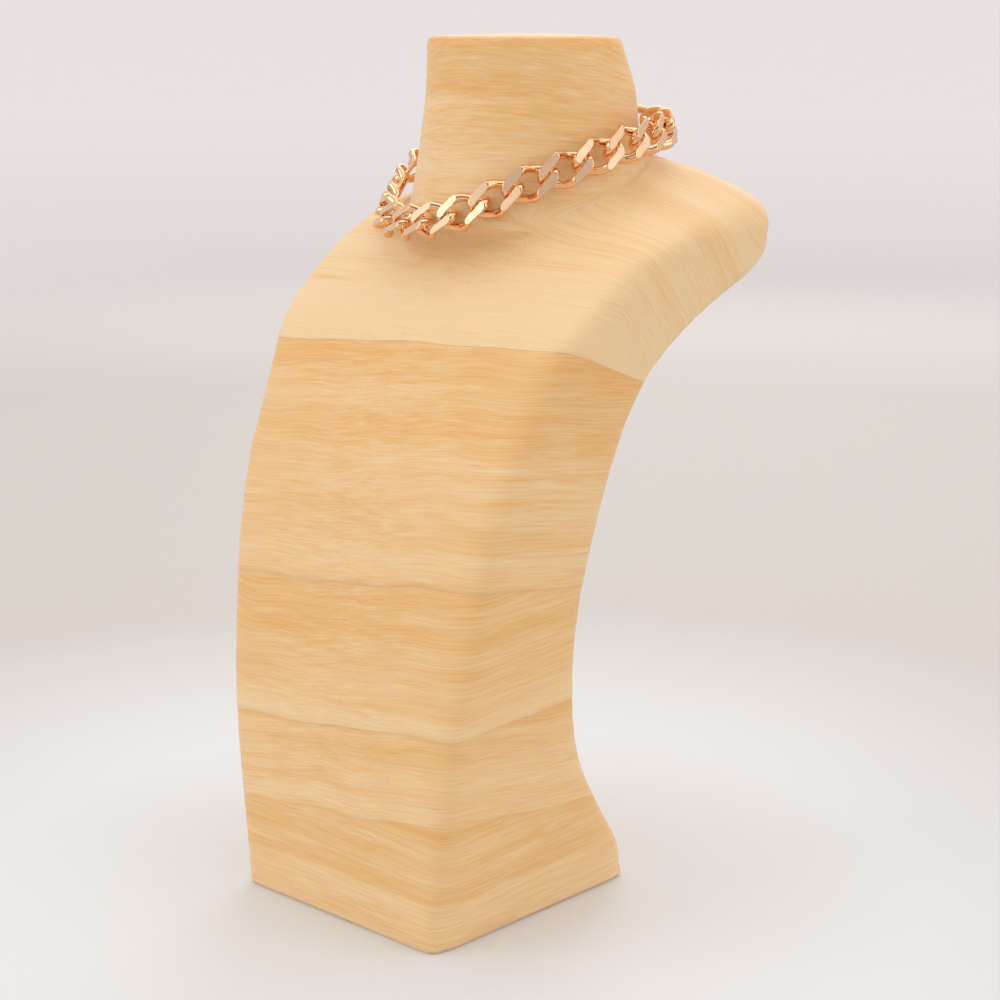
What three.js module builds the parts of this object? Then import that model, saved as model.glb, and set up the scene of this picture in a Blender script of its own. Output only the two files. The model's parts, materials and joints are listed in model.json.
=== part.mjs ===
// A collar choker of heavy curb links on the neck bust that displays it.
// Millimetres, +Z up. The origin is the centre of the bust's flat base, and its chest faces -Y.

import * as THREE from 'three';

// ---- driving dimensions ------------------------------------------------------------------

const BUST_HEIGHT = 380;
const ARRIS_RADIUS = 8;          // rounding of the bust's four long edges
const BACK_ARRIS_RADIUS = 5.6;
const BASE_CHAMFER = 1.8;
const TOP_ROUNDING = 2.5;
const NECK_FILLET = 12;          // reach of the blend between neck and shoulders
const NECK_FOOT = 298;           // height inside the body where the neck begins
const CHEST_CROWN = 6;           // how much higher the middle of the chest is than its sides
const SHOULDER_CROWN = 24;       // the same on the shoulder ridge
const CROWN_START = 25;          // y where the crown begins to grow
const CROWN_END = 98;            // y where it has its full height
const CROWN_POWER = 0.8;

const LINK_COUNT = 24;
const LINK_PITCH = 15.92;
const LINK_LENGTH = 26.2;        // over the outside
const LINK_WIDTH = 17;
const LINK_THICKNESS = 6;        // between the two ground faces
const WIRE = 4.1;
const WIRE_DEPTH = 4.3;          // the wire is a little deeper than it is wide
const SQUARENESS = 0.93;         // 1 is a true ellipse, less is a fuller oval
const END_TWIST = THREE.MathUtils.degToRad(45);
const TWIST_REACH = 0.7;         // share of the half length over which the twist grows
const LINK_STEPS = 16;
const WIRE_SIDES = 6;
const SKIN_CLEARANCE = 0.6;      // between the chain and the bust

const CLASP_LENGTH = 24.6;
const CLASP_WIDTH = 14;
const CLASP_WIRE = 3;
const CLASP_PLACE = 0.478;       // share of the loop from the middle of the chest

// Side outline of the bust, from below the base upwards: the chest edge and the back edge.
const CHEST_PROFILE = [
  { y: -63, z: -60 }, { y: -63.1, z: 10 }, { y: -63.1, z: 40 }, { y: -62.7, z: 70 },
  { y: -60.3, z: 100 }, { y: -56, z: 133 }, { y: -50.1, z: 166 }, { y: -41.5, z: 196 },
  { y: -31.2, z: 220 }, { y: -15, z: 252 }, { y: 7, z: 272.9 }, { y: 28, z: 289 },
  { y: 52, z: 299 }, { y: 90, z: 303.5 }, { y: 112, z: 305 }, { y: 240, z: 307 },
];
const BACK_PROFILE = [
  { y: 64, z: -60 }, { y: 63, z: 6 }, { y: 58, z: 20 }, { y: 37, z: 49 },
  { y: 22, z: 76 }, { y: 15.5, z: 108 }, { y: 15, z: 135 }, { y: 19, z: 160 },
  { y: 27, z: 192 }, { y: 42, z: 228 }, { y: 63, z: 251 }, { y: 90, z: 268 },
  { y: 110, z: 277 }, { y: 118, z: 284 }, { y: 120, z: 293 }, { y: 118, z: 305 },
  { y: 118, z: 420 },
];
// Half the width between the flat side faces.
const HALF_WIDTH = [
  { z: 0, w: 62 }, { z: 100, w: 73 }, { z: 180, w: 80 }, { z: 235, w: 84.5 },
  { z: 270, w: 91.5 }, { z: 300, w: 98 }, { z: 330, w: 100 },
];
const NECK = [
  { z: 298, y: 62, r: 55.5 }, { z: 320, y: 62.5, r: 51.5 }, { z: 345, y: 63, r: 48.2 },
  { z: 356, y: 63.6, r: 47.2 }, { z: 376, y: 59.1, r: 43.6 }, { z: 385, y: 57.5, r: 42 },
];
// The line inside the bust that each section is measured from.
const CORE = [
  { z: 0, y: 0 }, { z: 60, y: -18 }, { z: 130, y: -20 }, { z: 200, y: -8 },
  { z: 250, y: 20 }, { z: 290, y: 50 }, { z: 330, y: 62 }, { z: 380, y: 58.4 },
];
// Where the chain lies round the neck: turn in degrees from the chest towards +X, reach from the
// neck's axis, height, and how far back the links lean, in degrees from upright.
const NECK_AXIS_Y = 63;
const CHAIN_ROUTE = [
  { turn: 0, reach: 60, height: 302.3, lean: 22 },
  { turn: 45, reach: 57.7, height: 320.3, lean: 14 },
  { turn: 90, reach: 57.8, height: 335.4, lean: 12 },
  { turn: 135, reach: 61.6, height: 340.2, lean: 14 },
  { turn: 180, reach: 57.6, height: 340, lean: 18 },
  { turn: 225, reach: 63.6, height: 337, lean: 24 },
  { turn: 270, reach: 69, height: 323, lean: 30 },
  { turn: 315, reach: 65.2, height: 302.2, lean: 32 },
  { turn: 360, reach: 60, height: 302.3, lean: 22 },
];

// ---- small helpers -----------------------------------------------------------------------

function lookUp(table, key, column, at) {
  const next = table.findIndex((row) => row[key] > at);
  if (next === 0) return table[0][column];
  if (next < 0) return table[table.length - 1][column];
  const low = table[next - 1];
  const high = table[next];
  const share = (at - low[key]) / (high[key] - low[key]);
  return low[column] + share * (high[column] - low[column]);
}

function smoothOutline(rows) {
  const curve = new THREE.SplineCurve(rows.map((row) => new THREE.Vector2(row.y, row.z)));
  return curve.getPoints(rows.length * 6);
}

// Distance from (y, z) to an outline that runs upwards: positive on its -Y side.
function outlineDistance(points, y, z) {
  let nearest = Infinity;
  let side = 1;
  for (let i = 1; i < points.length; i += 1) {
    const from = points[i - 1];
    const runY = points[i].x - from.x;
    const runZ = points[i].y - from.y;
    const offY = y - from.x;
    const offZ = z - from.y;
    const along = (offY * runY + offZ * runZ) / (runY * runY + runZ * runZ);
    const share = THREE.MathUtils.clamp(along, 0, 1);
    const distance = Math.hypot(offY - share * runY, offZ - share * runZ);
    if (distance < nearest) {
      nearest = distance;
      side = Math.sign(runY * offZ - runZ * offY) || 1;
    }
  }
  return nearest * side;
}

function roundedCorner(a, b, radius) {
  const outside = Math.hypot(Math.max(a + radius, 0), Math.max(b + radius, 0));
  return Math.min(Math.max(a, b), -radius) + outside;
}

function softJoin(a, b, reach) {
  const share = Math.max(reach - Math.abs(a - b), 0) / reach;
  return Math.min(a, b) - share * share * reach / 4;
}

function solidFrom(positions, triangles, name, material) {
  const geometry = new THREE.BufferGeometry();
  geometry.setAttribute('position', new THREE.Float32BufferAttribute(positions, 3));
  geometry.setIndex(triangles);
  geometry.computeVertexNormals();
  const mesh = new THREE.Mesh(geometry, material);
  mesh.name = name;
  return mesh;
}

// ---- the bust ----------------------------------------------------------------------------

const chestOutline = smoothOutline(CHEST_PROFILE);
const backOutline = smoothOutline(BACK_PROFILE);

// Distance from the bust's skin, negative inside. The ends are cut later.
function skinDistance(x, y, z) {
  const halfWidth = lookUp(HALF_WIDTH, 'z', 'w', z);
  const across = Math.min(Math.abs(x) / halfWidth, 1);
  const depthShare = THREE.MathUtils.smoothstep(y, CROWN_START, CROWN_END);
  const crown = CHEST_CROWN + (SHOULDER_CROWN - CHEST_CROWN) * depthShare;
  const lift = crown * (1 - across * across) ** CROWN_POWER;
  const chest = outlineDistance(chestOutline, y, z - lift);
  const back = -outlineDistance(backOutline, y, z);
  const side = Math.abs(x) - halfWidth;
  const body = roundedCorner(roundedCorner(chest, side, ARRIS_RADIUS), back, BACK_ARRIS_RADIUS);
  const neckY = lookUp(NECK, 'z', 'y', z);
  const neckRadius = lookUp(NECK, 'z', 'r', z);
  const neck = Math.max(Math.hypot(x, y - neckY) - neckRadius, NECK_FOOT - z);
  return softJoin(body, neck, NECK_FILLET);
}

function reachOfSkin(direction, coreY, z) {
  let inside = 0;
  let outside = 170;
  for (let i = 0; i < 26; i += 1) {
    const middle = (inside + outside) / 2;
    const distance = skinDistance(middle * direction.x, coreY + middle * direction.y, z);
    if (distance < 0) inside = middle;
    else outside = middle;
  }
  return inside;
}

// Section heights: wide apart on the trunk, close together where the shoulders turn over.
function sectionHeights() {
  const bands = [
    { to: 238, step: 14 }, { to: 296, step: 5.2 }, { to: 346, step: 2.3 }, { to: 377, step: 6.2 },
  ];
  const heights = [0, BASE_CHAMFER];
  let from = BASE_CHAMFER;
  for (const band of bands) {
    const count = Math.round((band.to - from) / band.step);
    for (let i = 1; i <= count; i += 1) heights.push(from + (band.to - from) * i / count);
    from = band.to;
  }
  heights.push(BUST_HEIGHT - 0.3 * TOP_ROUNDING, BUST_HEIGHT);
  return heights;
}

// Directions round one section. Four runs meet at the arrises and gather towards them.
function sectionDirections(z, coreY) {
  const frontZ = Math.min(z, 240);
  const backZ = Math.min(z, 300);
  const yAt = (outline, height) => {
    const next = outline.findIndex((point) => point.y > height);
    return outline[next].x;
  };
  const frontCore = lookUp(CORE, 'z', 'y', frontZ);
  const backCore = lookUp(CORE, 'z', 'y', backZ);
  const frontWidth = lookUp(HALF_WIDTH, 'z', 'w', frontZ);
  const backWidth = lookUp(HALF_WIDTH, 'z', 'w', backZ);
  const front = Math.atan2(yAt(chestOutline, frontZ) - frontCore, frontWidth);
  const back = Math.atan2(yAt(backOutline, backZ) - backCore, backWidth);
  const runs = [
    { from: -Math.PI - front, to: front, count: 16 },
    { from: front, to: back, count: 7 },
    { from: back, to: Math.PI - back, count: 10 },
    { from: Math.PI - back, to: Math.PI - front, count: 7 },
  ];
  const gather = 0.6;
  const directions = [];
  for (const run of runs) {
    for (let i = 0; i < run.count; i += 1) {
      const even = i / run.count;
      const share = even - gather * Math.sin(2 * Math.PI * even) / (2 * Math.PI);
      const angle = run.from + (run.to - run.from) * share;
      directions.push(new THREE.Vector2(Math.cos(angle), Math.sin(angle)));
    }
  }
  return directions;
}

// How far a section is drawn in, for the chamfered base and the rounded top rim.
function drawnIn(z) {
  if (z < BASE_CHAMFER) return BASE_CHAMFER - z;
  const aboveRim = z - (BUST_HEIGHT - TOP_ROUNDING);
  if (aboveRim <= 0) return 0;
  return TOP_ROUNDING - Math.sqrt(TOP_ROUNDING ** 2 - aboveRim ** 2);
}

function makeBust(material) {
  const positions = [];
  const triangles = [];
  const heights = sectionHeights();
  let around = 0;
  for (const z of heights) {
    const coreY = lookUp(CORE, 'z', 'y', z);
    const directions = sectionDirections(z, coreY);
    around = directions.length;
    for (const direction of directions) {
      const reach = reachOfSkin(direction, coreY, z) - drawnIn(z);
      positions.push(reach * direction.x, coreY + reach * direction.y, z);
    }
  }
  for (let row = 0; row + 1 < heights.length; row += 1) {
    for (let i = 0; i < around; i += 1) {
      const a = row * around + i;
      const b = row * around + (i + 1) % around;
      triangles.push(a, b, b + around, a, b + around, a + around);
    }
  }
  const last = (heights.length - 1) * around;
  const bottomCentre = positions.length / 3;
  positions.push(0, 0, 0);
  const topCentre = bottomCentre + 1;
  positions.push(0, lookUp(CORE, 'z', 'y', BUST_HEIGHT), BUST_HEIGHT);
  for (let i = 0; i < around; i += 1) {
    const next = (i + 1) % around;
    triangles.push(bottomCentre, next, i, topCentre, last + i, last + next);
  }
  return solidFrom(positions, triangles, 'bust', material);
}

// ---- the chain ---------------------------------------------------------------------------

// A power of a sine or cosine that keeps its sign.
function signedPower(value, power) {
  return Math.sign(value) * Math.abs(value) ** power;
}

// One closed ring of wire: an oval bent about its long axis, so that its two ends stand at
// right angles to each other, with both faces ground flat.
function makeRing(shape, name, material) {
  const positions = [];
  const triangles = [];
  const turned = new THREE.Vector3();
  const longAxis = new THREE.Vector3(1, 0, 0);
  for (let step = 0; step < shape.steps; step += 1) {
    const angle = 2 * Math.PI * (step + 0.5) / shape.steps;
    const middle = new THREE.Vector2(
      shape.halfLength * signedPower(Math.cos(angle), SQUARENESS),
      shape.halfWidth * signedPower(Math.sin(angle), SQUARENESS),
    );
    const outward = new THREE.Vector2(
      shape.halfWidth * signedPower(Math.cos(angle), 2 - SQUARENESS),
      shape.halfLength * signedPower(Math.sin(angle), 2 - SQUARENESS),
    ).normalize();
    for (let side = 0; side < shape.sides; side += 1) {
      const around = 2 * Math.PI * (side + 0.5) / shape.sides;
      const reach = shape.wire / 2 * Math.cos(around);
      turned.set(
        middle.x + outward.x * reach,
        middle.y + outward.y * reach,
        shape.wireDepth / 2 * Math.sin(around),
      );
      const grown = Math.min(Math.abs(turned.x) / (shape.halfLength * TWIST_REACH), 1);
      const twist = END_TWIST * Math.sin(grown * Math.PI / 2) * Math.sign(turned.x);
      turned.applyAxisAngle(longAxis, -twist);
      turned.z = THREE.MathUtils.clamp(turned.z, -shape.thickness / 2, shape.thickness / 2);
      positions.push(turned.x, turned.y, turned.z);
    }
  }
  for (let step = 0; step < shape.steps; step += 1) {
    const nextStep = (step + 1) % shape.steps;
    for (let side = 0; side < shape.sides; side += 1) {
      const nextSide = (side + 1) % shape.sides;
      const a = step * shape.sides + side;
      const b = nextStep * shape.sides + side;
      const c = nextStep * shape.sides + nextSide;
      const d = step * shape.sides + nextSide;
      triangles.push(a, b, c, a, c, d);
    }
  }
  return solidFrom(positions, triangles, name, material);
}

function chainCurve() {
  const points = CHAIN_ROUTE.slice(0, -1).map((row) => {
    const turn = THREE.MathUtils.degToRad(row.turn);
    return new THREE.Vector3(
      row.reach * Math.sin(turn),
      NECK_AXIS_Y - row.reach * Math.cos(turn),
      row.height,
    );
  });
  const curve = new THREE.CatmullRomCurve3(points, true, 'catmullrom', 0.5);
  curve.arcLengthDivisions = 800;
  return curve;
}

// Which way a link's face looks at a point of the chain.
function outwardAt(point) {
  const turn = Math.atan2(point.x, NECK_AXIS_Y - point.y);
  const degrees = (THREE.MathUtils.radToDeg(turn) + 360) % 360;
  const lean = THREE.MathUtils.degToRad(lookUp(CHAIN_ROUTE, 'turn', 'lean', degrees));
  const level = Math.cos(lean);
  return new THREE.Vector3(level * Math.sin(turn), -level * Math.cos(turn), Math.sin(lean));
}

// Turns a piece so that its length follows the chain and its face looks out of the bust.
function layOnBust(mesh, curve, share) {
  const centre = curve.getPointAt(share);
  const along = curve.getTangentAt(share);
  const outward = outwardAt(centre);
  const across = new THREE.Vector3().crossVectors(outward, along).normalize();
  outward.crossVectors(along, across);
  mesh.quaternion.setFromRotationMatrix(new THREE.Matrix4().makeBasis(along, across, outward));
  mesh.position.copy(centre);
  mesh.position.addScaledVector(outward, liftToClear(mesh));
  return mesh;
}

// How far a placed piece has to move out for every point of it to be clear of the skin.
function liftToClear(mesh) {
  mesh.updateMatrix();
  const point = new THREE.Vector3();
  const corners = mesh.geometry.attributes.position;
  let nearest = Infinity;
  for (let i = 0; i < corners.count; i += 1) {
    point.fromBufferAttribute(corners, i).applyMatrix4(mesh.matrix);
    nearest = Math.min(nearest, skinDistance(point.x, point.y, point.z));
  }
  return Math.max(SKIN_CLEARANCE - nearest, 0);
}

const linkShape = {
  steps: LINK_STEPS,
  sides: WIRE_SIDES,
  halfLength: (LINK_LENGTH - WIRE) / 2,
  halfWidth: (LINK_WIDTH - WIRE) / 2,
  wire: WIRE,
  wireDepth: WIRE_DEPTH,
  thickness: LINK_THICKNESS,
};

const claspShape = {
  steps: LINK_STEPS,
  sides: WIRE_SIDES,
  halfLength: (CLASP_LENGTH - CLASP_WIRE) / 2,
  halfWidth: (CLASP_WIDTH - CLASP_WIRE) / 2,
  wire: CLASP_WIRE,
  wireDepth: CLASP_WIRE,
  thickness: LINK_THICKNESS,
};

// ---- the assembly ------------------------------------------------------------------------

const gold = new THREE.MeshStandardMaterial({ color: 0xe9b487, metalness: 1, roughness: 0.14 });
const raffia = new THREE.MeshStandardMaterial({ color: 0xe3bd86, metalness: 0, roughness: 0.62 });

const necklaceOnBust = new THREE.Group();
necklaceOnBust.add(makeBust(raffia));

const curve = chainCurve();
const loopLength = curve.getLength();
const claspToLink = (loopLength - (LINK_COUNT - 1) * LINK_PITCH) / 2;
for (let i = 0; i < LINK_COUNT; i += 1) {
  const fromClasp = claspToLink + i * LINK_PITCH;
  const share = (CLASP_PLACE + fromClasp / loopLength) % 1;
  const name = `link_${String(i + 1).padStart(2, '0')}`;
  necklaceOnBust.add(layOnBust(makeRing(linkShape, name, gold.clone()), curve, share));
}
necklaceOnBust.add(layOnBust(makeRing(claspShape, 'clasp', gold.clone()), curve, CLASP_PLACE));

export default necklaceOnBust;
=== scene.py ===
# %% [markdown]
# # A curb chain choker on its neck bust
# The piece is a collar choker of heavy curb links, and it lies round the neck of the small display
# bust that jewellers use. The frame holds both at their true size, so this lesson moves nothing: it
# takes its places from the frame and makes the surfaces that a hand would feel.

# %% Load the frame
import json
import math

import bmesh
import bpy
import numpy as np
from mathutils import Matrix, Vector
from mathutils.bvhtree import BVHTree

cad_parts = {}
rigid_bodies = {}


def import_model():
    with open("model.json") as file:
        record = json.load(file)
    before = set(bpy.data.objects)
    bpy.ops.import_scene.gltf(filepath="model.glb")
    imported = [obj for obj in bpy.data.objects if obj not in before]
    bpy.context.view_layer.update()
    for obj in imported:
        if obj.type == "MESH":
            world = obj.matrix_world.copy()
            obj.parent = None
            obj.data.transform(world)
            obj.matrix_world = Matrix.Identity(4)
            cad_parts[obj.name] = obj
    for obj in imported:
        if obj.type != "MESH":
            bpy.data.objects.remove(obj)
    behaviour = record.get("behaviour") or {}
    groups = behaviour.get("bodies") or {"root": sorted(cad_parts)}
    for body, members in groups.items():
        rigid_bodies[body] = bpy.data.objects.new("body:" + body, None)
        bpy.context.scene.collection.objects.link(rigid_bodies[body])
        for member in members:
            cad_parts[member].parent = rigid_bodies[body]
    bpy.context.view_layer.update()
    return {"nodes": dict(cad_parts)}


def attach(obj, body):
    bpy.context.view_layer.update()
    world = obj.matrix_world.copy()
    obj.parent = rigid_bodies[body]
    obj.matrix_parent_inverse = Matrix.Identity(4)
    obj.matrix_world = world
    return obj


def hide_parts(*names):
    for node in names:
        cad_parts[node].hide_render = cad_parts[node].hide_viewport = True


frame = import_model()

MM = 0.001
link_nodes = sorted(name for name in frame["nodes"] if name.startswith("link_"))

# %% [markdown]
# ## Camera
# A long lens a little above the top of the neck looks down at the chest and the left side of the
# bust. A lens of about 77 mm keeps the upright edges nearly parallel, as a product picture does.

# %% Set the camera
camera_data = bpy.data.cameras.new("camera")
camera_data.lens = 77.04
camera = bpy.data.objects.new("camera", camera_data)
camera.location = (0.6571, -0.6556, 0.3855)
camera.rotation_euler = (math.radians(77.441), 0, math.radians(43.245))
bpy.context.scene.collection.objects.link(camera)
bpy.context.scene.camera = camera
bpy.context.scene.view_settings.view_transform = "Standard"
print("camera", round(camera.location.length, 3), "m from the middle of the base")

# %% [markdown]
# ## The studio
# A pale table top rises into the wall behind it without a corner, so no line crosses the picture.
# Here it is a round dish, which looks the same from every side. It starts as a filled circle and is
# extruded outwards and upwards along a quarter of an arc.

# %% Helpers for selecting
def deselect_all():
    if bpy.context.object and bpy.context.object.mode != "OBJECT":
        bpy.ops.object.mode_set(mode="OBJECT")
    bpy.ops.object.select_all(action="DESELECT")


def make_active(piece):
    deselect_all()
    bpy.context.view_layer.objects.active = piece
    piece.select_set(True)


def apply_modifiers(piece):
    make_active(piece)
    for modifier in list(piece.modifiers):
        bpy.ops.object.modifier_apply(modifier=modifier.name)


# %% Make the dish
FLOOR_RADIUS = 2.4
COVE_RADIUS = 1.2
COVE_STEPS = 12

deselect_all()
bpy.ops.mesh.primitive_circle_add(vertices=96, radius=FLOOR_RADIUS, fill_type="NGON")
floor = bpy.context.object
floor.name = "studio_floor"
bpy.ops.object.mode_set(mode="EDIT")
bpy.ops.mesh.select_all(action="SELECT")
bpy.ops.mesh.inset(thickness=FLOOR_RADIUS * 0.6)
bpy.ops.mesh.select_all(action="DESELECT")
bpy.ops.mesh.select_mode(type="EDGE")
bpy.ops.mesh.select_non_manifold()
reach = FLOOR_RADIUS
for step in range(1, COVE_STEPS + 1):
    turn = math.pi / 2 * step / COVE_STEPS
    before = math.pi / 2 * (step - 1) / COVE_STEPS
    rise = COVE_RADIUS * (math.cos(before) - math.cos(turn))
    wider = reach + COVE_RADIUS * (math.sin(turn) - math.sin(before))
    bpy.ops.mesh.extrude_edges_move(TRANSFORM_OT_translate={"value": (0, 0, rise)})
    bpy.ops.transform.resize(value=(wider / reach, wider / reach, 1))
    reach = wider
bpy.ops.object.mode_set(mode="OBJECT")
bpy.ops.object.shade_smooth()
print("dish", round(2 * reach, 2), "m across,", len(floor.data.polygons), "faces")

# %% [markdown]
# ## Light
# Polished metal shows the room more than it shows itself. Wide soft boxes give the long white
# lines on the links, and dark cards that only reflections can see give the thin dark ones.

# %% Place the lights
def add_soft_box(name, place, aim, width, height, watts):
    data = bpy.data.lights.new(name, "AREA")
    data.shape = "RECTANGLE"
    data.size = width
    data.size_y = height
    data.energy = watts
    light = bpy.data.objects.new(name, data)
    light.location = place
    light.rotation_euler = (Vector(aim) - Vector(place)).to_track_quat("-Z", "Y").to_euler()
    bpy.context.scene.collection.objects.link(light)


def add_dark_card(name, place, aim, width, height):
    deselect_all()
    bpy.ops.mesh.primitive_plane_add(size=1)
    card = bpy.context.object
    card.name = name
    turn = (Vector(aim) - Vector(place)).to_track_quat("-Z", "Y").to_matrix().to_4x4()
    card.data.transform(Matrix.Translation(place) @ turn @ Matrix.Diagonal((width, height, 1, 1)))
    card.visible_camera = False
    card.visible_diffuse = False
    card.visible_shadow = False


# Each row: name, place, width, height and, for a box, watts. All of them face the neck.
NECK_MIDDLE = (0, 0.06, 0.32)
SOFT_BOXES = [
    ("front_box", (-0.9, -1.6, 1.1), 1.5, 1.2, 8.4),
    ("side_box", (1.9, 0.7, 1.0), 1.2, 1.4, 5.2),
    ("top_box", (0.1, 0.3, 1.9), 1.8, 1.8, 7),
    ("back_box", (-1.1, 1.6, 1.2), 1.2, 1.0, 7),
]
DARK_CARDS = [
    ("card_over_camera", (0.88, -0.84, 1.28), 2.2, 0.5),
    ("card_by_camera", (1.3, -1.15, 0.5), 0.14, 1.0),
    ("card_on_left", (-1.6, -0.7, 0.5), 0.2, 1.4),
    ("card_behind", (1.3, 1.3, 0.6), 0.25, 1.2),
]
for name, place, width, height, watts in SOFT_BOXES:
    add_soft_box(name, place, NECK_MIDDLE, width, height, watts)
world = bpy.data.worlds.new("tent")
world.use_nodes = True
world.node_tree.nodes["Background"].inputs["Color"].default_value = (1.0, 0.955, 0.94, 1)
world.node_tree.nodes["Background"].inputs["Strength"].default_value = 0.82
bpy.context.scene.world = world
for name, place, width, height in DARK_CARDS:
    add_dark_card(name, place, NECK_MIDDLE, width, height)
print("lights", [light.name for light in bpy.data.lights])

# %% [markdown]
# ## Node groups for the finishes
# Fibre streaks show on the wound covering and on the disc that closes the neck, and polishing marks
# show on every gold face. Each effect is one group with its own inputs, so that each material
# can give it other values. The groups give out only colours, masks and heights.

# %% Helpers for nodes
def new_group(name, inputs, outputs):
    group = bpy.data.node_groups.new(name, "ShaderNodeTree")
    for title, kind, value in inputs:
        socket = group.interface.new_socket(name=title, in_out="INPUT", socket_type=kind)
        if value is not None:
            socket.default_value = value
    for title, kind in outputs:
        group.interface.new_socket(name=title, in_out="OUTPUT", socket_type=kind)
    return group


def add_node(tree, kind, links=None, **settings):
    """A node with its settings; links gives what feeds each input, a value or another socket."""
    node = tree.nodes.new(kind)
    for key, value in settings.items():
        setattr(node, key, value)
    for key, source in (links or {}).items():
        if isinstance(source, bpy.types.NodeSocket):
            tree.links.new(source, node.inputs[key])
        else:
            node.inputs[key].default_value = source
    return node


def add_math(tree, operation, first, second=0.0, clamp=False):
    node = add_node(tree, "ShaderNodeMath", {0: first, 1: second}, operation=operation)
    node.use_clamp = clamp
    return node.outputs[0]


def add_mix(tree, share, first, second):
    links = {"Factor": share, "A": first, "B": second}
    node = tree.nodes.new("ShaderNodeMix")
    node.data_type = "RGBA"
    colour_inputs = [s for s in node.inputs if s.type == "RGBA"]
    sockets = {"Factor": node.inputs[0], "A": colour_inputs[0], "B": colour_inputs[1]}
    for key, source in links.items():
        if isinstance(source, bpy.types.NodeSocket):
            tree.links.new(source, sockets[key])
        else:
            sockets[key].default_value = source
    return next(s for s in node.outputs if s.type == "RGBA")


def add_ramp(tree, value, low, high):
    """Clamped straight line from 0 at low to 1 at high."""
    links = {"Value": value, "From Min": low, "From Max": high}
    return add_node(tree, "ShaderNodeMapRange", links, clamp=True).outputs["Result"]


# %% Fibre streaks
# The vector runs (round, round, across): two numbers for the place round the bust and one for the
# distance across the fibres, all in metres.
def make_fibre_group():
    group = new_group(
        "fibre_streaks",
        [("Vector", "NodeSocketVector", None), ("Length", "NodeSocketFloat", 60.0),
         ("Fineness", "NodeSocketFloat", 1600.0)],
        [("Fine", "NodeSocketFloat"), ("Broad", "NodeSocketFloat"), ("Fleck", "NodeSocketFloat"),
         ("Glint", "NodeSocketFloat"), ("Height", "NodeSocketFloat")],
    )
    start = group.nodes.new("NodeGroupInput")
    vector, length, fineness = start.outputs[0], start.outputs[1], start.outputs[2]
    wander = add_node(group, "ShaderNodeTexNoise", {"Vector": vector, "Scale": 14.0, "Detail": 1.0})
    lean = add_math(group, "MULTIPLY", add_math(group, "SUBTRACT", wander.outputs[0], 0.5), 0.0008)
    offset = add_node(group, "ShaderNodeCombineXYZ", {2: lean}).outputs[0]
    bent = add_node(group, "ShaderNodeVectorMath", {0: vector, 1: offset}, operation="ADD").outputs[0]

    def streaks(across_share, along_share, detail, shift):
        along = add_math(group, "MULTIPLY", length, along_share)
        across = add_math(group, "MULTIPLY", fineness, across_share)
        scale = add_node(group, "ShaderNodeCombineXYZ", {0: along, 1: along, 2: across}).outputs[0]
        links = {"Vector": bent, "Location": (shift, shift * 0.7, shift * 1.3), "Scale": scale}
        place = add_node(group, "ShaderNodeMapping", links).outputs[0]
        links = {"Vector": place, "Scale": 1.0, "Detail": detail, "Roughness": 0.6}
        return add_node(group, "ShaderNodeTexNoise", links).outputs[0]

    fine = streaks(1.0, 1.0, 1.0, 0.0)
    thread = streaks(0.42, 0.5, 2.0, 4.1)
    broad = streaks(0.070, 0.07, 1.0, 9.3)
    fleck = streaks(0.8, 1.6, 1.0, 17.9)
    glint = streaks(0.7, 1.1, 1.0, 31.7)

    def blend(fine_share):
        """Fine fibres and coarser threads together."""
        return add_math(group, "ADD", add_math(group, "MULTIPLY", fine, fine_share),
                        add_math(group, "MULTIPLY", thread, 1 - fine_share))

    results = [
        blend(0.65),
        broad,
        add_ramp(group, fleck, 0.70, 0.80),
        add_ramp(group, glint, 0.62, 0.78),
        blend(0.6),
    ]
    end = group.nodes.new("NodeGroupOutput")
    for number, result in enumerate(results):
        group.links.new(result, end.inputs[number])
    return group


# %% Polishing marks
def make_polish_group():
    group = new_group(
        "polishing_marks",
        [("Smooth", "NodeSocketFloat", 0.08), ("Rough", "NodeSocketFloat", 0.2),
         ("Grain", "NodeSocketFloat", 900.0)],
        [("Roughness", "NodeSocketFloat"), ("Height", "NodeSocketFloat"), ("Tone", "NodeSocketFloat")],
    )
    start = group.nodes.new("NodeGroupInput")
    smooth, rough, grain = start.outputs[0], start.outputs[1], start.outputs[2]
    place = group.nodes.new("ShaderNodeTexCoord").outputs["Object"]
    cloud = add_node(group, "ShaderNodeTexNoise", {"Vector": place, "Scale": 170.0, "Detail": 4.0})
    speck = add_node(group, "ShaderNodeTexNoise", {"Vector": place, "Scale": grain, "Detail": 3.0})
    links = {"Vector": place, "Scale": (2600.0, 300.0, 700.0), "Rotation": (0.5, 0.9, 0.3)}
    swept = add_node(group, "ShaderNodeMapping", links).outputs[0]
    hair = add_node(group, "ShaderNodeTexNoise", {"Vector": swept, "Scale": 1.0, "Detail": 2.0})
    links = {"Value": cloud.outputs[0], "From Min": 0.35, "From Max": 0.7,
             "To Min": smooth, "To Max": rough}
    roughness = add_node(group, "ShaderNodeMapRange", links, clamp=True).outputs["Result"]
    height = add_math(group, "ADD", add_math(group, "MULTIPLY", speck.outputs[0], 0.5),
                      add_math(group, "MULTIPLY", hair.outputs[0], 0.5))
    end = group.nodes.new("NodeGroupOutput")
    for number, result in enumerate([roughness, height, speck.outputs[0]]):
        group.links.new(result, end.inputs[number])
    return group


fibre_group = make_fibre_group()
polish_group = make_polish_group()
print("groups", [group.name for group in bpy.data.node_groups])


def new_material(name):
    material = bpy.data.materials.new(name)
    material.use_nodes = True
    tree = material.node_tree
    return material, tree, tree.nodes["Principled BSDF"]


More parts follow.
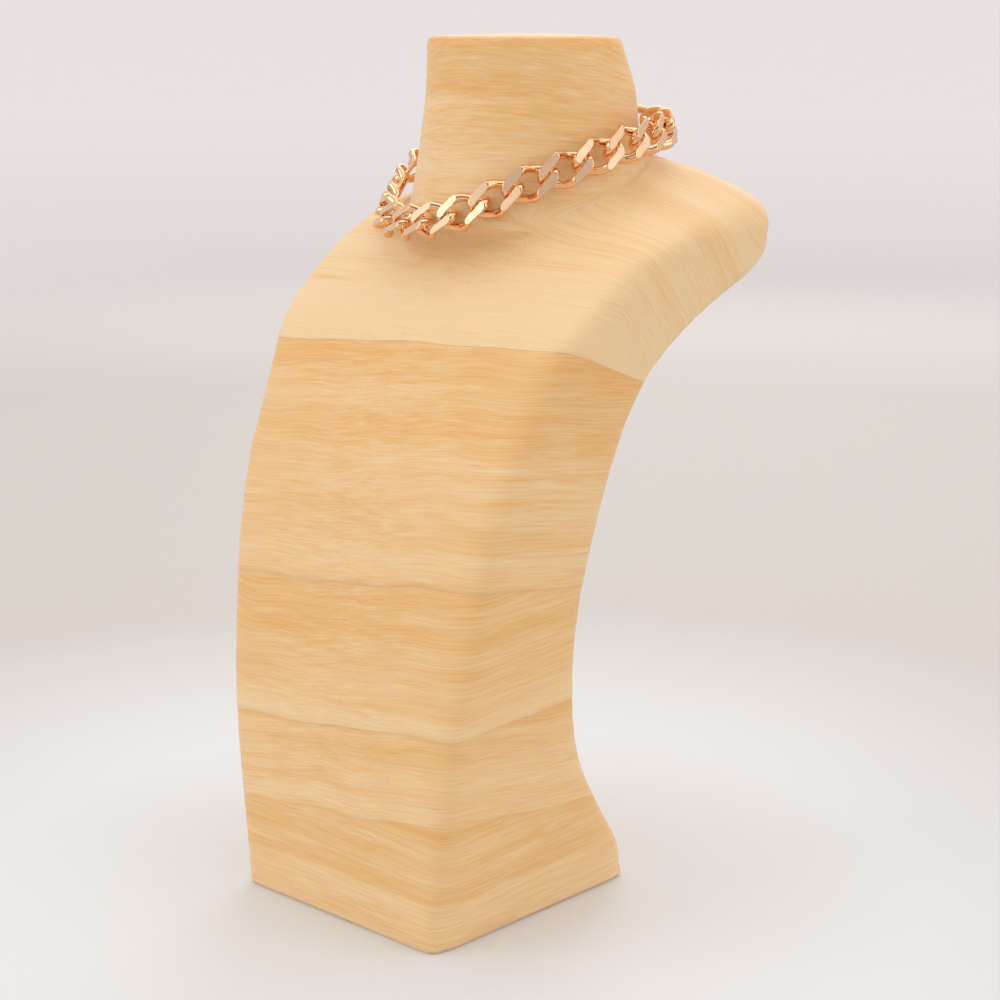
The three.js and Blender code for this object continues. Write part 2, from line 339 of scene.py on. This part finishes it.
def add_group(tree, group, **values):
    node = tree.nodes.new("ShaderNodeGroup")
    node.node_tree = group
    for key, value in values.items():
        if isinstance(value, bpy.types.NodeSocket):
            tree.links.new(value, node.inputs[key])
        else:
            node.inputs[key].default_value = value
    return node.outputs


# %% [markdown]
# ## The finish of the covering
# The covering is natural plant fibre, drawn flat and wound on in wide bands. Each band is warmer
# and darker where it comes out from under the band above, and pales towards its lower edge: that
# is painted shade under the overhang of the band above, laid over each band's own tone. A thin
# painted shadow line lies right under each lap edge. The share of the way up a band is kept on the
# mesh as an attribute, and so is the distance across the fibres, so the streaks follow the windings
# round the form. An image could do this too, but nodes stay sharp at any distance.

# %% Straw material
# The warm colour is the fibre's warmer tone and also stands in for painted shade under each lap; the deep
# colour gives the dark flecks and also the painted shadow line under each lap edge.
STRAW_PALE = (0.880, 0.640, 0.350, 1)
STRAW_WARM_AND_LAP_SHADE = (0.810, 0.440, 0.130, 1)
STRAW_FLECK_AND_LAP_SHADOW = (0.560, 0.270, 0.095, 1)
STRAW_LIGHT = (0.930, 0.750, 0.500, 1)


def make_straw(name, length, fineness, contrast):
    material, tree, shader = new_material(name)
    fibre = add_node(tree, "ShaderNodeAttribute", attribute_name="fibre").outputs["Vector"]
    share = add_node(tree, "ShaderNodeAttribute", attribute_name="band_share").outputs["Fac"]
    tone = add_node(tree, "ShaderNodeAttribute", attribute_name="band_tone").outputs["Fac"]
    streaks = add_group(tree, fibre_group, Vector=fibre, Length=length, Fineness=fineness)
    fine, broad, fleck, glint, height = [streaks[n] for n in range(5)]
    # Warmer and darker towards the upper edge of each band: painted shade under the band above. The
    # band's tone and the broad clouds are the fibre's own.
    warmth_and_lap_shade = add_math(tree, "MULTIPLY", add_math(tree, "POWER", share, 1.6), 0.46)
    warmth_and_lap_shade = add_math(tree, "ADD", warmth_and_lap_shade, tone)
    clouds = add_math(tree, "MULTIPLY", add_math(tree, "SUBTRACT", broad, 0.5), 1.15)
    warmth_and_lap_shade = add_math(tree, "ADD", warmth_and_lap_shade, clouds)
    lines = add_math(tree, "MULTIPLY", add_math(tree, "SUBTRACT", fine, 0.5), contrast)
    warmth_and_lap_shade = add_math(tree, "ADD", warmth_and_lap_shade, lines, clamp=True)
    colour = add_mix(tree, warmth_and_lap_shade, STRAW_PALE, STRAW_WARM_AND_LAP_SHADE)
    colour = add_mix(tree, add_math(tree, "MULTIPLY", glint, 0.35), colour, STRAW_LIGHT)
    colour = add_mix(tree, add_math(tree, "MULTIPLY", fleck, 0.30), colour, STRAW_FLECK_AND_LAP_SHADOW)
    # Painted shadow: a thin dark line right under each lap edge, where the band above overhangs.
    painted_lap_shadow = add_ramp(tree, share, 0.985, 1.0)
    colour = add_mix(tree, add_math(tree, "MULTIPLY", painted_lap_shadow, 0.07), colour, STRAW_FLECK_AND_LAP_SHADOW)
    tree.links.new(colour, shader.inputs["Base Color"])
    links = {"Value": fine, "From Min": 0.3, "From Max": 0.7, "To Min": 0.5, "To Max": 0.68}
    roughness = add_node(tree, "ShaderNodeMapRange", links, clamp=True).outputs["Result"]
    tree.links.new(roughness, shader.inputs["Roughness"])
    bump = add_node(tree, "ShaderNodeBump", {"Height": height, "Strength": 0.55, "Distance": 0.35 * MM})
    tree.links.new(bump.outputs["Normal"], shader.inputs["Normal"])
    shader.inputs["Specular IOR Level"].default_value = 0.4
    shader.inputs["Sheen Weight"].default_value = 0.35
    shader.inputs["Sheen Roughness"].default_value = 0.45
    shader.inputs["Sheen Tint"].default_value = (1.0, 0.9, 0.85, 1)
    return material


straw = make_straw("straw_windings", 46.0, 1400.0, 1.9)
straw_disc = make_straw("straw_disc", 80.0, 1500.0, 1.8)
print("straw materials", straw.name, straw_disc.name)

# %% [markdown]
# ## The finish of the links
# Rose-yellow gold plating over a cast link is polished all round, and then both faces of the
# finished chain are ground flat. The ground faces keep a fine satin, the rest is a mirror, so they
# are two materials that share the polishing marks.

# %% Gold materials
GOLD_MIRROR = (0.940, 0.610, 0.350, 1)
GOLD_MIRROR_DEEP = (0.88, 0.50, 0.26, 1)
GOLD_SATIN = (0.930, 0.665, 0.435, 1)
GOLD_SATIN_DEEP = (0.80, 0.54, 0.35, 1)


def make_gold(name, colour, deeper, smooth, rough, grain, bump_depth):
    material, tree, shader = new_material(name)
    marks = add_group(tree, polish_group, Smooth=smooth, Rough=rough, Grain=grain)
    roughness, height, tone = [marks[n] for n in range(3)]
    tinted = add_mix(tree, add_ramp(tree, tone, 0.35, 0.75), colour, deeper)
    tree.links.new(tinted, shader.inputs["Base Color"])
    tree.links.new(roughness, shader.inputs["Roughness"])
    bump = add_node(tree, "ShaderNodeBump", {"Height": height, "Strength": 0.3, "Distance": bump_depth})
    tree.links.new(bump.outputs["Normal"], shader.inputs["Normal"])
    shader.inputs["Metallic"].default_value = 1.0
    return material


gold_mirror = make_gold("gold_mirror", GOLD_MIRROR, GOLD_MIRROR_DEEP, 0.06, 0.15, 900.0, 0.01 * MM)
gold_ground = make_gold("gold_ground_face", GOLD_SATIN, GOLD_SATIN_DEEP, 0.34, 0.46, 2600.0, 0.03 * MM)
print("gold materials", gold_mirror.name, gold_ground.name)

# %% [markdown]
# ## The table top
# The tone of the dish changes with the distance from its middle: pale under the bust, darker and
# warmer a little further off, and pale again up the wall. The darker ring and the pale wall are
# painted light: the falloff of the light behind a small table, and the light coming back on the
# wall, are put into the paper's colour.

# %% Floor material
# Only the near tone, with its clouds, is the paper's own colour: the darker tone a little way off is
# painted falloff of light, and the pale tone up the wall is painted light on the wall.
PAPER_NEAR = [(0.735, 0.750, 0.755, 1), (0.760, 0.775, 0.780, 1)]
PAPER_PAINTED_FALLOFF = (0.605, 0.575, 0.540, 1)
PAPER_PAINTED_WALL_LIGHT = (0.93, 0.915, 0.925, 1)
# The distances in metres over which one tone goes over into the next.
NEAR_TO_PAINTED_FALLOFF = (0.22, 0.48)
FALLOFF_TO_PAINTED_WALL_LIGHT = (1.4, 3.1)


def make_table_top():
    material, tree, shader = new_material("table_top_with_painted_light")
    place = tree.nodes.new("ShaderNodeTexCoord").outputs["Object"]
    cloud = add_node(tree, "ShaderNodeTexNoise", {"Vector": place, "Scale": 3.0, "Detail": 3.0})
    away = add_node(tree, "ShaderNodeVectorMath", {0: place}, operation="LENGTH").outputs["Value"]
    colour = add_mix(tree, cloud.outputs[0], *PAPER_NEAR)
    # Painted light: darker a little way off, where the light falls off, and pale again up the wall.
    colour = add_mix(tree, add_ramp(tree, away, *NEAR_TO_PAINTED_FALLOFF), colour, PAPER_PAINTED_FALLOFF)
    colour = add_mix(tree, add_ramp(tree, away, *FALLOFF_TO_PAINTED_WALL_LIGHT), colour, PAPER_PAINTED_WALL_LIGHT)
    tree.links.new(colour, shader.inputs["Base Color"])
    shader.inputs["Roughness"].default_value = 0.75
    return material


floor.data.materials.append(make_table_top())
card_material, _, card_shader = new_material("dark_card")
card_shader.inputs["Base Color"].default_value = (0.03, 0.028, 0.026, 1)
for card in [piece for piece in bpy.context.scene.objects if piece.name.startswith("card_")]:
    card.data.materials.append(card_material)
print("floor material", floor.data.materials[0].name)

# %% [markdown]
# ## The form under the covering
# The covering has to lie on the CAD bust exactly, yet be smooth where that solid has flat facets.
# So a copy of it becomes a form, as a milliner has a block: its triangles are merged into quads,
# its sharp rims are creased and it is subdivided. The form is only measured, and then removed.

# %% Make the form
FOOT_RIM = 2 * MM
TOP_RIM = 378.5 * MM

deselect_all()
form = bpy.data.objects.new("form", frame["nodes"]["bust"].data.copy())
bpy.context.scene.collection.objects.link(form)
make_active(form)
bpy.ops.object.mode_set(mode="EDIT")
bpy.ops.mesh.select_all(action="SELECT")
bpy.ops.mesh.remove_doubles(threshold=0.01 * MM)
bpy.ops.mesh.tris_convert_to_quads(face_threshold=math.radians(60), shape_threshold=math.radians(80))
bpy.ops.mesh.select_all(action="DESELECT")
edit = bmesh.from_edit_mesh(form.data)
for edge in edit.edges:
    heights = [vertex.co.z for vertex in edge.verts]
    edge.select_set(max(heights) < FOOT_RIM or min(heights) > TOP_RIM)
bmesh.update_edit_mesh(form.data)
bpy.ops.transform.edge_crease(value=1.0)
bpy.ops.object.mode_set(mode="OBJECT")
finer = form.modifiers.new("finer", "SUBSURF")
finer.levels = 2
finer.render_levels = 2
apply_modifiers(form)
form_surface = BVHTree.FromObject(form, bpy.context.evaluated_depsgraph_get())
print("form", len(form.data.polygons), "faces")
bpy.data.objects.remove(form)

# %% [markdown]
# ## The wound covering
# Wide bands of fibre are wound round the form from the base upwards, and each new band laps over
# the edge of the one below it. The bands could be separate sheets, but the real
# ones are glued down into one skin, so this is one mesh: a hoop is extruded upwards ring by ring,
# and every ring is pulled onto the form. The rings follow the slanting edges of the
# bands, and at each edge the skin steps in by the thickness of one band.

# %% Bands
# Height of each band's lower edge at the middle of the chest, how much it rises towards +X and
# towards the back (both as a slope), how wavy it was laid, how thick its lower edge is, and its
# tone and number of rings.
BANDS = [
    {"height": 0.0, "rise": 0.0, "back": 0.0, "wave": 0.0, "edge": 0.0, "tone": 0.33, "rings": 20},
    {"height": 49.5, "rise": 0.13, "back": -0.12, "wave": 1.3, "edge": 0.04, "tone": 0.34, "rings": 16},
    {"height": 89.5, "rise": 0.11, "back": 0.05, "wave": 1.0, "edge": 0.22, "tone": 0.28, "rings": 25},
    {"height": 152.0, "rise": 0.105, "back": -0.12, "wave": 1.1, "edge": 0.26, "tone": 0.35, "rings": 40},
    {"height": 264.0, "rise": 0.07, "back": -0.34, "wave": 0.8, "edge": 0.05, "tone": -0.10, "rings": 62},
    {"height": 348.0, "rise": 0.03, "back": -0.14, "wave": 0.6, "edge": 0.05, "tone": 0.42, "rings": 26},
    {"height": 380.0, "rise": 0.0, "back": 0.0, "wave": 0.0, "edge": 0.0, "tone": 0.30, "rings": 0},
]
for band in BANDS:
    for size in ("height", "wave", "edge"):
        band[size] *= MM
BUST_HEIGHT = BANDS[-1]["height"]
FOOT_BAND, SHOULDER_BAND, NECK_BAND = 0, 4, 5
COLUMNS = 176
EDGE_HEIGHT = 0.22 * MM
FIBRE_TURN = 80 * MM
CHEST_Y = -55 * MM
NECK_AXIS_Y = 63 * MM
# A line up the inside of the form, from which every ring is measured outwards: height and y in mm.
CORE = [(0, 0), (60, -18), (130, -20), (200, -8), (250, 20), (290, 50), (330, 62), (380, 58.4)]


def core_y(height):
    heights = [z * MM for z, y in CORE]
    return float(np.interp(height, heights, [y * MM for z, y in CORE]))


def skin_point(turn, height):
    """The form's surface at that height, in the direction of turn from the core."""
    height = min(max(height, 0.02 * MM), BUST_HEIGHT - 0.02 * MM)
    start = Vector((0, core_y(height), height))
    direction = Vector((math.cos(turn), math.sin(turn), 0))
    found = form_surface.ray_cast(start, direction)[0]
    return found if found else start


def edge_height(band, point):
    """Height of a band's edge there: a slanted plane, with two sines for the way a hand lays it."""
    wave = math.sin(58 * point.x + 2.1 * band["height"] * 1000) + 0.6 * math.sin(
        97 * point.y + 131 * point.x + band["height"] * 1700)
    from_chest = point.y - CHEST_Y
    slant = band["rise"] * point.x + band["back"] * from_chest
    return band["height"] + slant + band["wave"] * 0.6 * wave


def covering_point(turn, number, share):
    """The skin at a share of the way up a band, found in a few rounds, for the edges slant."""
    low, high = BANDS[number], BANDS[number + 1]
    height = low["height"] * (1 - share) + high["height"] * share
    for _ in range(4):
        point = skin_point(turn, height)
        height = edge_height(low, point) * (1 - share) + edge_height(high, point) * share
    point = skin_point(turn, height)
    return Vector((point.x, point.y, min(max(height, 0), BUST_HEIGHT)))


# %% Wind the covering on
deselect_all()
bpy.ops.mesh.primitive_circle_add(vertices=COLUMNS, radius=60 * MM, fill_type="NGON")
covering = bpy.context.object
covering.name = "bust_covering"
for name, kind in (("column", "INT"), ("band", "INT"), ("band_share", "FLOAT"),
                   ("band_tone", "FLOAT"), ("fibre", "FLOAT_VECTOR")):
    covering.data.attributes.new(name, kind, "POINT")
covering.data.attributes["column"].data.foreach_set("value", range(COLUMNS))


def column_turn(column):
    return 2 * math.pi * column / COLUMNS


def ring_shares(number):
    """Shares of the band at which its rings lie. They crowd where the form turns sharply."""
    count = BANDS[number]["rings"]
    even = [step / count for step in range(count + 1)]
    if number == FOOT_BAND:
        return [0, 0.008, 0.02, 0.04] + [share for share in even if share > 0.06]
    if number == SHOULDER_BAND:
        return [1 - (1 - share) ** 1.35 for share in even]
    if number == NECK_BAND:
        return [share for share in even if share < 0.93] + [0.945, 0.965, 0.98, 0.99, 0.996, 1.0]
    return even


def place_ring(number, share):
    edit = bmesh.from_edit_mesh(covering.data)
    column_layer = edit.verts.layers.int["column"]
    band_layer = edit.verts.layers.int["band"]
    share_layer = edit.verts.layers.float["band_share"]
    for vertex in edit.verts:
        if vertex.select:
            vertex[band_layer] = number
            vertex[share_layer] = share
            vertex.co = covering_point(column_turn(vertex[column_layer]), number, share)
    bmesh.update_edit_mesh(covering.data)


bpy.ops.object.mode_set(mode="EDIT")
bpy.ops.mesh.select_mode(type="FACE")
bpy.ops.mesh.select_all(action="SELECT")
place_ring(FOOT_BAND, 0)
ring_count = 1
for number in range(len(BANDS) - 1):
    for share in ring_shares(number):
        if number == FOOT_BAND and share == 0:
            continue
        bpy.ops.mesh.extrude_region_move(TRANSFORM_OT_translate={"value": (0, 0, MM)})
        place_ring(number, share)
        ring_count += 1
print("covering", ring_count, "rings of", COLUMNS, "points")

# %% [markdown]
# The neck is closed by a disc of the same fibre, drawn straight across. It is a little domed, and
# the covering turns over its edge. Insets of the last ring make the dome.

# %% Close the top of the neck
DOME_RISE = 1.2 * MM
DOME_RINGS = 7
DISC_SHARE = 0.5
top_band = len(BANDS) - 1
edit = bmesh.from_edit_mesh(covering.data)
rim = [vertex.co.copy() for vertex in edit.verts if vertex.select]
rim_middle = sum(rim, Vector()) / len(rim)
for step in range(1, DOME_RINGS + 1):
    left = math.cos(math.pi / 2 * step / (DOME_RINGS + 0.4))
    before = math.cos(math.pi / 2 * (step - 1) / (DOME_RINGS + 0.4))
    bpy.ops.mesh.extrude_region_move(TRANSFORM_OT_translate={"value": (0, 0, 0)})
    bpy.ops.transform.resize(value=(left / before, left / before, 1))
    edit = bmesh.from_edit_mesh(covering.data)
    ring = [vertex for vertex in edit.verts if vertex.select]
    middle = sum((vertex.co for vertex in ring), Vector()) / len(ring)
    for vertex in ring:
        vertex.co.x += rim_middle.x - middle.x
        vertex.co.y += rim_middle.y - middle.y
        vertex.co.z = rim_middle.z + DOME_RISE * (1 - left ** 2)
        vertex[edit.verts.layers.int["band"]] = top_band
        vertex[edit.verts.layers.float["band_share"]] = DISC_SHARE
    bmesh.update_edit_mesh(covering.data)
bpy.ops.mesh.select_all(action="SELECT")
bpy.ops.mesh.normals_make_consistent(inside=False)
bpy.ops.object.mode_set(mode="OBJECT")

# %% [markdown]
# Now each band gets its thickness: it stands proud at its lower edge, and it sinks in towards its
# upper edge, where it goes under the next one. The distance across the fibres is measured up each
# column from the band's own lower edge, so the streaks run along the band. Over the shoulders it is
# worked out from the height and the depth instead, so the fibres there run from side to side and
# tip towards the back. At the foot of the neck it is the height alone, so they lie level.

# %% Step the bands and lay the fibres
def read_attribute(name):
    values = np.zeros(len(covering.data.vertices), np.float32)
    covering.data.attributes[name].data.foreach_get("value", values)
    return values


# The foot of the neck, measured out from its axis, and how wide the change to the shoulders is.
NECK_FOOT_REACH = 53.5 * MM
NECK_FOOT_WIDTH = 1.5 * MM
# How much the fibres tip, as slopes: everywhere, and more behind BACK_Y. CROWN_DROP is per metre
# and makes up for the crown of the shoulders, which drops towards their ends.
TIP, TIP_BEHIND, BACK_Y = 0.35, 0.4, 20 * MM
CROWN_DROP, CROWN_Y, CROWN_DEPTH = 2.5, 25 * MM, 73 * MM
# Shifts, so that no two bands, nor the disc, show the same streaks.
BAND_APART = 0.5
DISC_APART = 7.0

columns = read_attribute("column").astype(int)
bands = read_attribute("band").astype(int)
shares = read_attribute("band_share")
places = np.array([vertex.co for vertex in covering.data.vertices])
normals = np.array([vertex.normal for vertex in covering.data.vertices])
across = np.zeros(len(places))
for column in range(COLUMNS):
    for number in range(top_band):
        ring = np.where((columns == column) & (bands == number))[0]
        ring = ring[np.argsort(shares[ring])]
        steps = np.linalg.norm(np.diff(places[ring], axis=0), axis=1)
        across[ring] = np.concatenate([[0], np.cumsum(steps)]) + BAND_APART * number
on_shoulders = bands == SHOULDER_BAND
x, y, z = places.T
off_neck = np.clip((np.hypot(x, y - NECK_AXIS_Y) - NECK_FOOT_REACH) / NECK_FOOT_WIDTH, 0, 1)
tipped = TIP * y + TIP_BEHIND * np.maximum(y - BACK_Y, 0)
tipped += CROWN_DROP * x ** 2 * np.clip((y - CROWN_Y) / CROWN_DEPTH, 0, 1)
across[on_shoulders] = (z + off_neck * tipped + BAND_APART * SHOULDER_BAND)[on_shoulders]
turns = 2 * np.pi * columns / COLUMNS
fibre = np.stack([FIBRE_TURN * np.cos(turns), FIBRE_TURN * np.sin(turns), across], axis=1)
on_disc = bands == top_band
fibre[on_disc] = places[on_disc][:, [0, 2, 1]] + [0, DISC_APART, 0]
tones = np.array([BANDS[number]["tone"] for number in bands], np.float32)
covering.data.attributes["fibre"].data.foreach_set("vector", fibre.astype(np.float32).ravel())
covering.data.attributes["band_tone"].data.foreach_set("value", tones)

edges = np.array([band["edge"] for band in BANDS] + [0.0])
thickness = 0.5 * (edges[bands] * (1 - shares) - edges[bands + 1] * shares)
thickness[on_disc | (bands == FOOT_BAND) & (shares < 0.1)] = 0
upper_edge = (shares == 1) & (bands < top_band - 1)
places += normals * thickness[:, None]
places[upper_edge, 2] -= EDGE_HEIGHT
covering.data.vertices.foreach_set("co", places.astype(np.float32).ravel())
covering.data.update()

covering.data.materials.append(straw)
covering.data.materials.append(straw_disc)
for face in covering.data.polygons:
    at_end = face.center.z > BUST_HEIGHT - 1 * MM or face.center.z < 0.5 * MM
    level = abs(face.normal.z) > 0.98 and at_end
    face.material_index = 1 if level else 0
make_active(covering)
bpy.ops.object.shade_smooth_by_angle(angle=math.radians(32))
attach(covering, "root")
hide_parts("bust")
print("covering", len(covering.data.polygons), "faces,", round(covering.dimensions.z / MM, 1), "mm")

# %% [markdown]
# ## One link
# A curb link is an oval of thick round wire, twisted until its two ends stand at right angles, and
# ground flat on both faces with its neighbours in place. It is made here in the same
# order as in the workshop: an oval curve gets the wire's thickness, two twist modifiers
# turn its ends, and two cuts grind the faces. A torus would also do, but stretching it to an oval
# would thin the wire.

# %% Link sizes
# Length and width are over the outside of the oval, wire and deep are the two sides of the wire,
# and thick is the distance between the two ground faces.
LINK = {"length": 26.2 * MM, "width": 17.0 * MM, "wire": 4.1 * MM, "deep": 4.3 * MM, "thick": 6.0 * MM}
CLASP = {"length": 24.6 * MM, "width": 14.0 * MM, "wire": 3.0 * MM, "deep": 3.0 * MM, "thick": 6.0 * MM}
# Each end turns by END_TWIST, one each way, within TWIST_REACH of the half length. FULLER makes the
# handles of the curve longer, so that the oval is a little fuller than an ellipse.
END_TWIST = math.radians(-45)
TWIST_REACH = 0.7
FULLER = 1.084
OVAL_STEPS = 26
WIRE_ROUNDNESS = 6
RIM_ROUNDING = 0.3 * MM


def bend_oval(size):
    """A closed tube of the wire, flat in X and Y, with its length along X."""
    half_length = (size["length"] - size["wire"]) / 2
    half_width = (size["width"] - size["wire"]) / 2
    deselect_all()
    bpy.ops.curve.primitive_bezier_circle_add(radius=1)
    oval = bpy.context.object
    for point in oval.data.splines[0].bezier_points:
        point.handle_left_type = "FREE"
        point.handle_right_type = "FREE"
        point.handle_left = point.co + (point.handle_left - point.co) * FULLER
        point.handle_right = point.co + (point.handle_right - point.co) * FULLER
    bpy.ops.object.mode_set(mode="EDIT")
    bpy.ops.curve.select_all(action="SELECT")
    bpy.ops.transform.resize(value=(half_length, half_width, 1))
    bpy.ops.object.mode_set(mode="OBJECT")
    oval.data.resolution_u = OVAL_STEPS
    oval.data.bevel_depth = size["wire"] / 2
    oval.data.bevel_resolution = WIRE_ROUNDNESS
    bpy.ops.object.convert(target="MESH")
    oval = bpy.context.object
    bpy.ops.object.mode_set(mode="EDIT")
    bpy.ops.mesh.select_all(action="SELECT")
    bpy.ops.transform.resize(value=(1, 1, size["deep"] / size["wire"]))
    bpy.ops.object.mode_set(mode="OBJECT")
    return oval, half_length


def twist_ends(oval, half_length, full_length):
    """Two twists in one go: a quick one near the middle and a slower one out to the bends."""
    inner = TWIST_REACH / 2
    inner_turn = END_TWIST * math.sin(math.pi / 4)
    outer_turn = END_TWIST - inner_turn
    passes = [(2 * inner, 2 * outer_turn), (inner, inner_turn - outer_turn)]
    for reach, turn in passes:
        twist = oval.modifiers.new("twist", "SIMPLE_DEFORM")
        twist.deform_method = "TWIST"
        twist.deform_axis = "X"
        twist.angle = 2 * turn
        share = reach * half_length / full_length
        twist.limits = (0.5 - share, 0.5 + share)
    apply_modifiers(oval)


def grind_faces(ring, thick):
    """Cuts both faces flat, rounds the rims of the cuts and gives the flats their own material."""
    make_active(ring)
    bpy.ops.object.mode_set(mode="EDIT")
    for side in (1, -1):
        bpy.ops.mesh.select_all(action="SELECT")
        bpy.ops.mesh.bisect(plane_co=(0, 0, side * thick / 2), plane_no=(0, 0, side),
                            use_fill=True, clear_outer=True)
    bpy.ops.mesh.select_all(action="SELECT")
    bpy.ops.mesh.remove_doubles(threshold=0.05 * MM)
    bpy.ops.mesh.normals_make_consistent(inside=False)
    bpy.ops.mesh.select_mode(type="FACE")
    bpy.ops.mesh.select_all(action="DESELECT")
    edit = bmesh.from_edit_mesh(ring.data)
    for face in edit.faces:
        off_cut = abs(abs(face.calc_center_median().z) - thick / 2)
        flat = abs(face.normal.z) > 0.9999 and off_cut < 0.01 * MM
        face.material_index = 1 if flat else 0
        face.select_set(flat)
    bmesh.update_edit_mesh(ring.data)
    bpy.ops.mesh.region_to_loop()
    bpy.ops.mesh.remove_doubles(threshold=0.14 * MM)
    bpy.ops.mesh.bevel(offset=RIM_ROUNDING, segments=3, affect="EDGES", clamp_overlap=False, material=0)
    bpy.ops.mesh.select_all(action="DESELECT")
    edit = bmesh.from_edit_mesh(ring.data)
    for face in edit.faces:
        face.select_set(face.material_index == 1)
    bmesh.update_edit_mesh(ring.data)
    bpy.ops.mesh.region_to_loop()
    bpy.ops.mesh.mark_sharp()
    bpy.ops.object.mode_set(mode="OBJECT")


def make_ring(name, size):
    ring, half_length = bend_oval(size)
    ring.name = name
    ring.data.materials.append(gold_mirror)
    ring.data.materials.append(gold_ground)
    twist_ends(ring, half_length, size["length"])
    grind_faces(ring, size["thick"])
    bpy.ops.object.shade_smooth_by_angle(angle=math.radians(40))
    return ring


first_link = make_ring("link_pattern", LINK)
flats = [face for face in first_link.data.polygons if face.material_index == 1]
print(len(flats), "ground faces of", [round(face.area / MM ** 2, 1) for face in flats], "mm2")
link_size = [round(side / MM, 2) for side in first_link.dimensions]
print("link", len(first_link.data.polygons), "faces,", link_size, "mm")

# %% [markdown]
# ## Hang the links
# Every link of the chain is the same casting, so the pattern is copied onto each place in the
# frame. A CAD link is alike from both ends and both faces, so the three main directions of its
# points are its length, its width and its thickness, and their middle is its centre.

# %% Copy the pattern onto each place
def place_of(node):
    """The matrix that takes a ring made at the origin to a node's place."""
    points = np.unique(np.round([vertex.co for vertex in frame["nodes"][node].data.vertices], 7), axis=0)
    centre = points.mean(axis=0)
    axes = np.linalg.eigh(np.cov((points - centre).T))[1]
    long_way, wide_way = Vector(axes[:, 2]), Vector(axes[:, 1])
    through = long_way.cross(wide_way)
    if through.dot(Vector(centre) - Vector((0, NECK_AXIS_Y, centre[2]))) < 0:
        wide_way, through = -wide_way, -through
    turn = Matrix((long_way, wide_way, through)).transposed().to_4x4()
    return Matrix.Translation(centre) @ turn


def hang(pattern, node, name):
    piece = pattern.copy()
    piece.data = pattern.data.copy()
    piece.name = name
    piece.data.transform(place_of(node))
    bpy.context.scene.collection.objects.link(piece)
    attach(piece, "root")
    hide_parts(node)


for node in link_nodes:
    hang(first_link, node, "curb_" + node)
bpy.data.objects.remove(first_link)
clasp_pattern = make_ring("clasp_pattern", CLASP)
hang(clasp_pattern, "clasp", "clasp_ring")
bpy.data.objects.remove(clasp_pattern)
print("hung", len(link_nodes), "links and a clasp")
